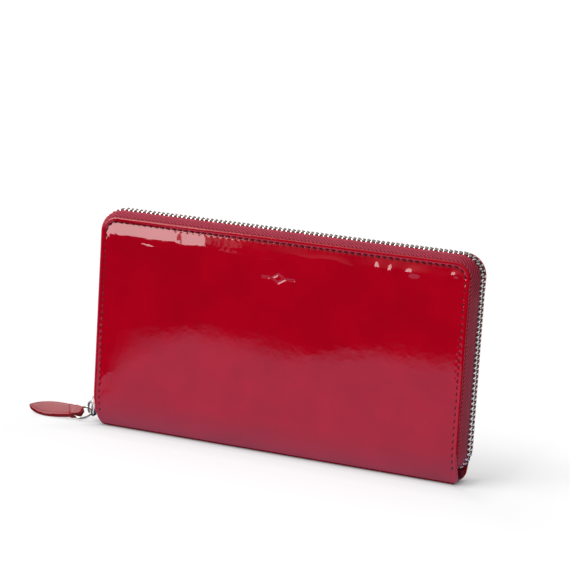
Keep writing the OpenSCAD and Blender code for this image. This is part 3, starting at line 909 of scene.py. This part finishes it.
def leaf():
    """The leather leaf: a strap folded round the ring, its flap stuck down, with painted edges."""
    back = -LOOP_BACK - LOOP_R
    share = 0.5 - 0.5 * np.cos(np.linspace(0.0, math.pi - 0.03, 140))
    p = back + 0.01 + (LEAF_REACH - back) * share
    p, across = np.meshgrid(p, np.sin(np.linspace(-math.pi / 2, math.pi / 2, 41)), indexing="ij")
    half = np.maximum(leaf_half((p - back) / (LEAF_REACH - back)), 0.12)
    w = half * across
    edge = np.minimum(half * (1 - np.abs(across)), LEAF_REACH - p)
    rounding = np.sqrt(np.clip(1 - (1 - np.clip(edge / 0.4, 0, 1)) ** 2, 0, 1))
    bar = np.maximum(np.abs(p + LOOP_BACK / 2) - LOOP_BACK / 2, 0)
    loop = np.sqrt(np.clip(LOOP_R ** 2 - bar ** 2, 0.0004, None))
    plate = LEAF_T / 2 * (0.62 + 0.38 * rounding) * smoothstep(p, back, 0.4)
    seam_at = 2.9 - 0.42 * w
    seam = 0.24 * mound(p - seam_at, 0.26)
    flap = 0.28 * smoothstep(seam_at - p, -0.12, 0.2)
    crown = 0.16 * (1 - across ** 2) - 0.12 * np.exp(-((1 - np.abs(across)) * half - 1.1) ** 2 / 0.08)
    swell = np.maximum(loop - 0.1 * (1 - rounding), 0)
    top = np.maximum(plate + (flap + crown) * rounding - seam, swell)
    bend = 0.003 * np.clip(p - 12, 0, None) ** 2
    shape = closed_sheet(on_leaf(p, w, top + bend), on_leaf(p, w, bend - np.maximum(plate, swell)))
    made = add_object("leaf_leather", *shape, LEAF, sharp=42)
    made.data.materials.append(EDGE)
    sides = len(shape[1]) - 2 * (p.shape[0] + p.shape[1] - 2)
    for face in made.data.polygons[sides:]:
        face.material_index = 1
    cutter = loop_cutter()
    cut = made.modifiers.new("loop", "BOOLEAN")
    cut.object, cut.operation, cut.solver = cutter, "DIFFERENCE", "EXACT"
    bpy.context.view_layer.update()
    done = bpy.data.meshes.new_from_object(made.evaluated_get(bpy.context.evaluated_depsgraph_get()))
    made.modifiers.clear()
    made.data = done
    bpy.data.objects.remove(cutter)
    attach(made, "pull_leaf")
    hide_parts("pull_leaf")


leaf()


# -------- linings, card slots and gussets
def lining_sheet(x, y, z, ny, nz, side, soft=0.0):
    """Both faces of a lining, at its depths under the profile."""
    layers = []
    for depth in (LINING_IN - soft, LINING_IN + LINING_T - soft):
        layers.append(np.stack([x, side * (y - ny * depth), z - nz * depth], -1))
    return closed_sheet(*layers)


def lining(side, word):
    """Cloth lining of one cover, following the leather's fold."""
    columns = np.linspace(-1, 1, 151)
    high_s = length_up_to(TOP - CORNER)
    turn = np.linspace(0, math.pi / 2, 13)[1:]
    rows = np.concatenate([np.linspace(length_up_to(5.6), high_s, 80),
                           high_s + (CORNER - LINING_INSET) * np.sin(turn)])
    y, z, ny, nz = (a[:, None] + 0 * columns[None] for a in on_profile(rows))
    x = columns[None] * half_width(z, LINING_INSET, 0.01)
    soft = 0.05 * np.sin(x / 7.3 + z / 11) * np.sin(z / 6.1)
    shape = turned(lining_sheet(x, y, z, ny, nz, side, soft), side < 0)
    piece(f"{word}_cloth", shape, LINING, f"{word}_cover", f"{word}_lining")


def spine_lining():
    reach = length_up_to(4.7)
    rows = np.linspace(-reach, reach, 41)[:, None]
    x = np.linspace(LINING_INSET - HALF_W, HALF_W - LINING_INSET, 120)[None] + 0 * rows
    y, z, ny, nz = (a + 0 * x for a in on_profile(np.abs(rows)))
    shape = lining_sheet(x, y, z, ny, nz, np.sign(rows))
    piece("spine_cloth", shape, LINING, "spine", "spine_lining")


def panel_grid(low, high, count, rows, lip, lip_rows):
    """Points (x, z) over a panel, with closer rows along its lip."""
    columns = np.linspace(low[0], high[0], count)
    heights = np.concatenate([np.linspace(low[2], high[2] - lip - 0.1, rows),
                              np.linspace(high[2] - lip, high[2], lip_rows)])
    z, x = np.meshgrid(heights, columns, indexing="ij")
    return x, z


def card_slot(side, word, level):
    """One card slot leather: turned lip and a stitched middle and ends."""
    node = f"{word}_card_slot_{level}"
    low, high, near, far = box_sides(node)
    x, z = panel_grid(low, high, 121, 40, 1.1, 12)
    from_lip = high[2] - z
    lip = 0.10 * mound(from_lip - 0.5, 0.45) - 0.08 * mound(from_lip - 1.5, 0.3)
    seam = -0.12 * mound(x, 0.7) - 0.10 * mound(np.abs(x) - high[0] + 1.5, 0.5)
    inner = np.stack([x, side * (near - lip - seam * 0.6), z], -1)
    outer = np.stack([x, side * (far + 0 * x), z], -1)
    shape = turned(closed_sheet(outer, inner), side < 0)
    piece(f"{word}_slot_{level}", shape, INNER, f"{word}_cover", node)


def gusset(side, word, end, hand):
    """Thin folded cloth between a cover and the coin pocket."""
    node = f"{word}_{hand}_gusset"
    low, high, near_y, far_y = box_sides(node)
    hem_x, out_x = sorted((abs(low[0]), abs(high[0])))
    fold_x, fold_at = out_x - 5, (near_y + far_y) / 2
    line = np.array([(hem_x, near_y + 0.15), (out_x - 0.6, near_y + 0.15), (out_x - 0.25, near_y + 0.4),
                     (fold_x + 0.3, fold_at - 0.25), (fold_x, fold_at), (fold_x + 0.3, fold_at + 0.25),
                     (out_x - 0.3, far_y - 0.1)])
    length = lengths_along(line)
    even = np.linspace(0, length[-1], 40)
    line = np.stack([np.interp(even, length, line[:, k]) for k in (0, 1)], -1)
    normal = unit_rows(np.stack([np.gradient(line[:, 1]), -np.gradient(line[:, 0])], -1))
    z = np.linspace(low[2], high[2], 60)[:, None] + 0 * even
    layers = []
    for offset in (0.13, -0.13):
        x, y = (line + normal * offset).T
        layers.append(np.stack([end * x + 0 * z, side * y + 0 * z, z], -1))
    made = add_object(f"{word}_{hand}_fold", *turned(closed_sheet(*layers), side * end > 0), GUSSET)
    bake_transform(made)
    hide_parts(node)


for side, word in COVERS:
    lining(side, word)
    for level in ("low", "mid", "high"):
        card_slot(side, word, level)
    for end, hand in ((-1, "left"), (1, "right")):
        gusset(side, word, end, hand)
spine_lining()


# -------- coin pocket
def soft_panel(name, node, bevel=0.18):
    """A thin leather strip with rounded edges."""
    low, high = box_mm(node)
    shape = rounded_box(low, high, min(bevel, (high - low).min() * 0.45))
    piece(name, shape, BINDING, "spine", node, sharp=50)


def coin_wall(side, word):
    """Pocket wall with a turned and stitched lip along its mouth."""
    node = f"coin_{word}_wall"
    low, high, near, far = box_sides(node)
    x, z = panel_grid(low, high, 141, 50, 4.9, 26)
    d = high[2] - z
    round_lip = 0.2 * (1 - np.sqrt(np.clip(1 - (1 - np.clip(d / 0.35, 0, 1)) ** 2, 0, 1)))
    hem = 0.06 * smoothstep(4.2 - d, 0, 0.4) - 0.10 * mound(d - 2.2, 0.3)
    bound = 0.05 * smoothstep(3.0 - np.minimum(x - low[0], high[0] - x), 0, 0.3)
    outer = np.stack([x, side * (far - round_lip + (hem + bound) * 0.8 - 0.06), z], -1)
    inner = np.stack([x, side * (near + round_lip), z], -1)
    shape = turned(closed_sheet(outer, inner), side < 0)
    piece(f"coin_{word}_leather", shape, INNER, "spine", node)


def coin_teeth(side, word):
    """The fine zip's row of teeth over the pocket's mouth."""
    node = f"coin_{word}_teeth"
    low, high = box_mm(node)
    y0, y1 = (low[1], high[1]) if side > 0 else (-high[1], -low[1])
    tooth = rounded_box((-0.5, y0, 0.0), (0.5, y1, high[2] - low[2]), 0.22)
    x = np.arange(low[0] + 0.575, high[0], PITCH)
    axes = np.tile(np.diag([1.0, float(side), 1.0]), (len(x), 1, 1))
    shape = turned(repeated(tooth, np.stack([x, 0 * x, low[2] + 0 * x], -1), axes), side < 0)
    piece(f"coin_{word}_row", shape, NICKEL, "spine", node, sharp=40)


def coin_tape(word):
    """Woven tape hanging between the pocket's walls, with the zip's cord along its upper edge."""
    node = f"coin_{word}_tape"
    low, high = box_mm(node)
    middle = (low[1] + high[1]) / 2
    cord = tube([(x, middle, high[2] - 0.3) for x in (low[0] + 0.4, 0, high[0] - 0.4)], 0.3, 8)
    shape = joined([rounded_box(low, high, 0.15, 1), cord])
    piece(f"coin_{word}_cloth", shape, GUSSET, "spine", node, sharp=50)


def coin_zip_slider():
    """The small slider: a plate, two folded sides and two ears for the puller's pin."""
    low, high = box_mm("coin_slider")
    wall, top = 0.7, high[2] - 1.8
    mid, pin_z = (low[0] + high[0]) / 2, top + 0.9
    parts = [rounded_box((low[0], low[1], top - wall), (high[0], high[1], top), 0.25)]
    for sy in (-1, 1):
        y0, y1 = sorted((sy * high[1], sy * (high[1] - wall)))
        parts.append(rounded_box((low[0], y0, low[2]), (high[0], y1, top - 0.1), 0.22))
        y0, y1 = sorted((sy * (high[1] - 0.1), sy * 0.76))
        parts.append(rounded_box((low[0] + 0.1, y0, low[2]), (high[0] - 0.1, y1, low[2] + wall), 0.2))
        ear = [(mid + math.cos(a), sy * 1.2, pin_z + 0.62 * math.sin(a)) for a in circle(18)]
        parts.append(tube(ear, 0.27, 8, closed=True))
    node = "coin_slider"
    piece("coin_zip_slider", joined(parts), DARK_STEEL, node, node, sharp=40)
    node = "coin_puller"
    far_x = box_mm(node)[1][0]
    under, over = pin_z - 0.42, pin_z + 0.33
    parts = [tube([(mid, y, pin_z) for y in (-1.5, 0, 1.5)], 0.42),
             rounded_box((mid + 0.2, -0.7, under), (mid + 5, 0.7, over), 0.2),
             rounded_box((mid + 4.2, -1.8, under), (far_x, 1.8, over), 0.3, 3)]
    piece("coin_zip_puller", joined(parts), NICKEL, node, node, sharp=40)


def end_stop(side, word):
    """The stop past the last tooth, at the end of the tape's tail inside the fold."""
    node = f"{word}_end_stop"
    low, high = box_mm(node)
    half = (high - low) / 2
    verts, faces = rounded_box(-half, half, 0.3)
    out = np.array([math.cos(STOP_TURN), 0, -math.sin(STOP_TURN)])
    run = np.array([-out[2], 0, out[0]])
    place = (TAIL_X, side * 1.5, TAIL_Z) + TAIL_R * out
    shape = (place + verts @ np.array([out, (0, 1, 0), run]), faces)
    piece(f"{word}_stop", shape, NICKEL, f"{word}_cover", node, sharp=40)


for side, word in COVERS:
    coin_wall(side, word)
    coin_tape(word)
    coin_teeth(side, word)
    end_stop(side, word)
for hand in ("left", "right"):
    soft_panel(f"coin_{hand}_edge", f"coin_{hand}_binding", 0.5)
soft_panel("coin_floor", "coin_base")
coin_zip_slider()
for node in ("front_board", "back_board", "spine_board"):
    slots = frame["nodes"][node].data.materials
    slots.clear()
    slots.append(BOARD)


# -------- studio, in metres
AIM = Vector((3.8, -HALF_T, 83.5)) * MM
AZIMUTH, ELEVATION, ROLL = math.radians(23.86), math.radians(10.32), 0.0608
DISTANCE, LENS = 1.097, 147.6
WHITE = (1, 1, 1)
PINKISH = (1.0, 0.95, 0.96)
BACK_Y = 5.9


def camera():
    """The camera, which looks at the front face from the right and a little above."""
    data = bpy.data.cameras.new("camera")
    data.lens, data.sensor_width = LENS, 36
    data.clip_start, data.clip_end = 0.01, 20
    made = placed("camera", data)
    flat = math.cos(ELEVATION)
    away = Vector((math.sin(AZIMUTH) * flat, -math.cos(AZIMUTH) * flat, math.sin(ELEVATION)))
    made.location = AIM + away * DISTANCE
    made.rotation_mode = "QUATERNION"
    made.rotation_quaternion = (-away).to_track_quat("-Z", "Y") @ Quaternion((0, 0, 1), ROLL)
    bpy.context.scene.camera = made


def stored_level(tree):
    """The glow that a stage mesh stores for each of its points."""
    read = tree.nodes.new("ShaderNodeAttribute")
    read.attribute_name = "level"
    return read.outputs["Fac"]


def glow(name, colour, strength=None):
    """A plain light; without a strength it reads the mesh's own level."""
    made, tree, light = material(name, "Emission")
    light.inputs[0].default_value = (*colour, 1)
    if strength is None:
        tree.links.new(stored_level(tree), light.inputs[1])
    else:
        light.inputs[1].default_value = strength
    return made


def stage_piece(name, points, faces, made_material, seen_by, levels=None):
    """A stage mesh in metres that only some rays see."""
    mesh = bpy.data.meshes.new(name)
    mesh.from_pydata(points, [], faces)
    if levels is not None:
        level = mesh.attributes.new("level", "FLOAT", "POINT")
        level.data.foreach_set("value", np.asarray(levels, np.float32))
    mesh.materials.append(made_material)
    made = placed(name, mesh)
    made.visible_camera = "camera" in seen_by
    made.visible_diffuse = "diffuse" in seen_by
    made.visible_glossy = "glossy" in seen_by
    made.visible_transmission = False
    made.visible_shadow = "shadow" in seen_by


def card(name, corners, light, seen_by="glossy"):
    stage_piece(name, corners, [(0, 1, 2, 3)], light, (seen_by,))


def upright(start, end, low, high):
    """Corners of an upright card over the line from start to end."""
    return [(*start, low), (*end, low), (*end, high), (*start, high)]


def facing(middle, aim, size):
    """Corners of a square card that faces a point."""
    middle, aim = Vector(middle), Vector(aim)
    turn = (aim - middle).to_track_quat("-Z", "Y")
    signs = ((-1, -1), (1, -1), (1, 1), (-1, 1))
    return [middle + turn @ Vector((sx * size / 2, sy * size / 2, 0)) for sx, sy in signs]


def table_reflection():
    """The bright table top that the lower part of the front cover mirrors, with soft edges."""
    edge = np.array([(-0.097, 0.0), (-0.127, -0.08), (-0.156, -0.146), (-0.169, -0.205), (-0.156, -0.244),
                     (-0.120, -0.236), (-0.082, -0.219), (-0.065, -0.240), (-0.048, -0.259), (0.009, -0.265),
                     (0.06, -0.27), (0.13, -0.275)])
    inward = unit_rows(np.array([(1, 0), (1, 0.3), (1, 0.3), (1, 0.5), (0.3, 1), (0, 1), (0, 1), (0.2, 1),
                                 (0.2, 1), (0, 1), (0, 1), (0, 1)]))
    soft = inward * np.array([0.002, 0.008, 0.016] + [0.03] * 9)[:, None]
    near = edge + soft
    near[:, 1] = np.maximum(near[:, 1], -0.08)
    back = np.stack([np.maximum(near[:, 0], -0.095), 0 * near[:, 1]], -1)
    rows = [edge - soft, edge - soft / 2, edge, edge + soft / 2, edge + soft, near, back]
    levels = [0.0, 0.16, 0.5, 0.84, 1.0, 1.08, 1.15]
    points = [(x, y, 0.001) for row in rows for x, y in row]
    stage_piece("table_reflection", points, grid_faces(len(rows), len(edge)),
                glow("table_glow", (0.56, 0.62, 1.0)), ("glossy",), np.repeat(levels, len(edge)))


def floor():
    """White table top that glows a little; its glow drops right beside the wallet, a painted contact shadow.
    """
    made, tree, shader = material("floor")
    cloud = noise(tree, coordinates(tree), 3, 3)
    set_inputs(tree, shader,
               {"Roughness": 0.9, "Specular IOR Level": 0.1, "Emission Color": (1, 1, 1, 1)},
               {"Base Color": ramp(tree, cloud, [(0.3, (0.30, 0.30, 0.30)), (0.7, (0.32, 0.32, 0.32))]),
                "Emission Strength": stored_level(tree)})
    away = [0.0, 0.0015, 0.004, 0.010, 0.025, 0.07, 0.2, 6.0]
    # Glow of each ring out from the wallet's footprint: the low values close in are a painted contact
    # shadow.
    levels = [0.05, 0.22, 0.42, 0.56, 0.64, 0.68, 0.69, 0.69]
    points = []
    for d in away:
        wide, deep = HALF_W * MM - 0.003 + d, 0.004 + d
        points += [(-wide, -deep, 0), (wide, -deep, 0), (wide, deep, 0), (-wide, deep, 0)]
    faces = [(0, 1, 2, 3)]
    for start in range(0, len(points) - 4, 4):
        faces += [(start + k, start + k + 4, start + (k + 1) % 4 + 4, start + (k + 1) % 4) for k in range(4)]
    stage_piece("floor", points, faces, made, ("camera", "diffuse", "shadow"), np.repeat(levels, 4))


def world():
    """Bright overhead and on the left, dim to the right, dark below the horizon."""
    made = bpy.data.worlds.new("studio")
    bpy.context.scene.world = made
    made.use_nodes = True
    tree = made.node_tree
    tree.nodes.clear()
    where = add_node(tree, "TexCoord").outputs["Generated"]
    parts = add_node(tree, "SeparateXYZ", feeds={0: where})
    height = ramp(tree, spread(tree, parts.outputs["Z"], -0.3, 0.7, "From"),
                  [(0.0, (0.004, 0.004, 0.004)), (0.26, (0.006, 0.006, 0.006)), (0.32, (0.25, 0.25, 0.26)),
                   (1.0, WHITE)])
    side = ramp(tree, spread(tree, parts.outputs["X"], -0.6, 0.7, "From"),
                [(0.0, WHITE), (1.0, (0.16, 0.16, 0.17))])
    back = add_node(tree, "Background", {1: 0.8}, {0: multiplied(tree, height, side)})
    add_node(tree, "OutputWorld", feeds={0: back.outputs[0]})


def sun_light(name, toward, spread_deg, power):
    data = bpy.data.lights.new(name, "SUN")
    data.angle, data.energy = math.radians(spread_deg), power
    made = placed(name, data)
    made.rotation_euler = Vector(toward).to_track_quat("Z", "Y").to_euler()
    made.visible_glossy = False


camera()
world()
floor()
card("back_wall", upright((-9, BACK_Y), (9, BACK_Y), -0.5, 9), glow("backdrop", WHITE, 1.02), "camera")
card("back_glow", upright((-9, BACK_Y), (9, BACK_Y), 0, 9), glow("back_glow", WHITE, 0.5))
table_reflection()
card("table_behind", [(0.11, 0.02, 0.001), (0.9, 0.02, 0.001), (0.9, 1.6, 0.001), (0.11, 1.6, 0.001)],
     glow("table_behind", WHITE, 1.0))
SOFTBOX_END = (-0.474, -0.915)
card("left_softbox", upright(SOFTBOX_END, (-0.95, -0.75), 0.02, 0.75), glow("softbox", PINKISH, 7.5))
card("softbox_edge", upright((-0.448, -0.924), SOFTBOX_END, 0.05, 0.72), glow("softbox_fade", PINKISH, 0.7))
card("pull_card", facing((-0.357, 0.242, 0.50), (-0.118, -0.004, 0.004), 0.5),
     glow("pull_glow", (1.0, 0.97, 0.98), 2.3))
sun_light("key_sun", (-0.32, -0.46, 0.83), 38, 2.5)
bpy.context.scene.view_settings.view_transform = "Standard"
